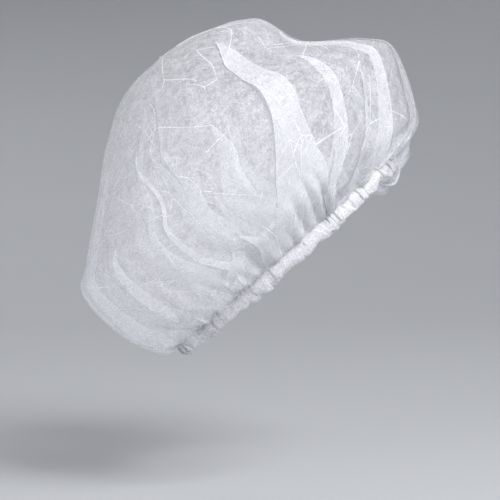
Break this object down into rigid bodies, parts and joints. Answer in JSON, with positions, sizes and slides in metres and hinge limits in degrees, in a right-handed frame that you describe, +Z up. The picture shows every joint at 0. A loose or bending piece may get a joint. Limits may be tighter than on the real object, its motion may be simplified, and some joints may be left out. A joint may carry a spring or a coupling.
{
  "type": "disposable bouffant cap",
  "caption": "Puffy see-through cap of thin white non-woven fabric, gathered on a hidden elastic loop round the head opening.",
  "frame": {"origin": "centre of the elastic loop round the head opening, where the wearer's head is held", "axes": "+X to the wearer's front, +Y to the wearer's left, +Z up, with the cap at the slope at which it is worn"},
  "size_m": [0.2521, 0.224, 0.2551],
  "materials": {
    "nonwoven_sheet": "thin see-through spunbond non-woven, soft sheen on the folds",
    "nonwoven_hem": "doubled and gathered spunbond non-woven",
    "elastic": "matt ribbed flat elastic",
    "weld_dots": "fused and slightly glazed polypropylene"
  },
  "bodies": {
    "root": {"crown_sheet": "nonwoven_sheet", "hem_tunnel": "nonwoven_hem", "elastic_band": "elastic", "elastic_splice": "elastic", "hem_welds": "weld_dots"}
  },
  "joints": []
}
